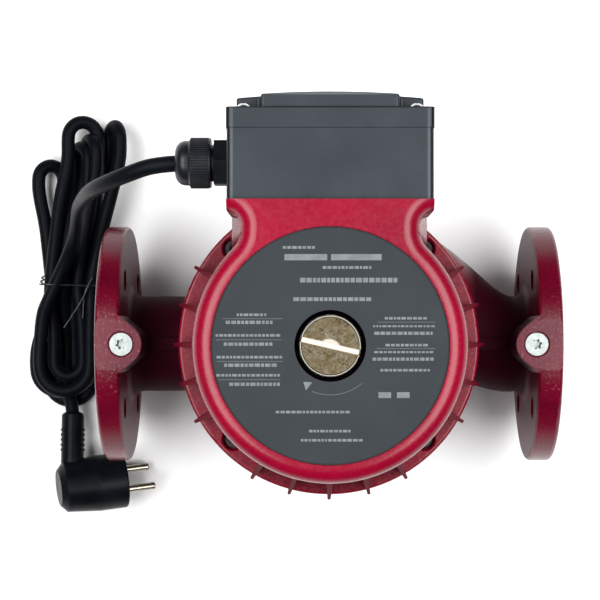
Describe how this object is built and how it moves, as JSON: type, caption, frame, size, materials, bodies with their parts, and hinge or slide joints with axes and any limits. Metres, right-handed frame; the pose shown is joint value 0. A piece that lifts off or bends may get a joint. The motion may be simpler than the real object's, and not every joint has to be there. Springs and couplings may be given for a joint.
{
  "type": "circulator pump",
  "caption": "In-line canned-rotor heating circulator with flanged suction and discharge, finned motor shell, terminal box, cable gland and coiled mains lead with plug.",
  "frame": {"origin": "where the motor axis meets the rest face under the casing", "axes": "+Z along the motor axis towards the nameplate, +X along the pipe axis towards the discharge flange, +Y towards the terminal box"},
  "size_m": [0.3381, 0.2648, 0.2976],
  "materials": {
    "red_enamel": "gloss enamel over a casting",
    "stainless": "turned and brushed",
    "lamination_steel": "stamped laminations",
    "zinc_steel": "zinc plated",
    "nickel_brass": "nickel plated, turned",
    "brass": "turned",
    "bronze": "turned",
    "copper": "enamelled wire",
    "cage_aluminium": "die cast",
    "carbon": "resin-bonded carbon, ground",
    "rubber": "moulded",
    "plate_print": "matte printed foil",
    "box_plastic": "moulded, fine texture",
    "black_plastic": "moulded, satin",
    "insulator": "moulded",
    "capacitor_shell": "moulded",
    "cord_pvc": "extruded sheath"
  },
  "bodies": {
    "casing": {"pump_housing": "red_enamel", "wear_ring": "bronze", "housing_seal": "rubber", "gauge_plugs": "zinc_steel", "gauge_plug_seals": "rubber", "bearing_plate": "stainless", "lower_bearing": "carbon", "rotor_can": "stainless", "can_seal": "rubber", "bearing_carrier": "stainless", "upper_bearing": "carbon", "motor_housing": "red_enamel", "motor_screws": "zinc_steel", "nameplate": "plate_print", "stator_core": "lamination_steel", "windings": "copper", "stator_leads": "insulator", "terminal_box_base": "box_plastic", "box_gasket": "rubber", "terminal_box_lid": "box_plastic", "lid_screws": "zinc_steel", "box_screws": "zinc_steel", "terminal_block": "insulator", "terminal_screws": "brass", "capacitor": "capacitor_shell", "capacitor_clip": "zinc_steel", "gland_body": "black_plastic", "gland_locknut": "black_plastic", "gland_seal": "rubber", "gland_nut": "black_plastic", "mains_cord_lead": "cord_pvc", "mains_cord_hank": "cord_pvc", "cord_tie": "black_plastic", "plug_body": "black_plastic", "plug_pins": "nickel_brass", "plug_earth_clips": "nickel_brass"},
    "rotor": {"rotor_shaft": "stainless", "rotor_core": "lamination_steel", "rotor_end_rings": "cage_aluminium", "thrust_collar": "carbon", "impeller": "stainless", "impeller_nut": "stainless", "impeller_washer": "stainless"},
    "vent_travel": {"vent_seal": "rubber"},
    "vent_turn": {"vent_plug": "nickel_brass"}
  },
  "joints": [
    {"name": "rotor_spin", "type": "hinge", "parent": "casing", "child": "rotor", "pos_m": [0, 0, 0.189], "axis": [0, 0, 1], "continuous": true},
    {"name": "vent_slide", "type": "slide", "parent": "casing", "child": "vent_travel", "axis": [0, 0, 1], "range_m": [0, 0.012]},
    {"name": "vent_screw", "type": "hinge", "parent": "vent_travel", "child": "vent_turn", "pos_m": [0, 0, 0.29], "axis": [0, 0, 1], "range_deg": [0, 2880]}
  ],
  "couplings": [
    {"joint": "vent_screw", "follows": "vent_slide", "rad_per_m": 4188.8}
  ]
}
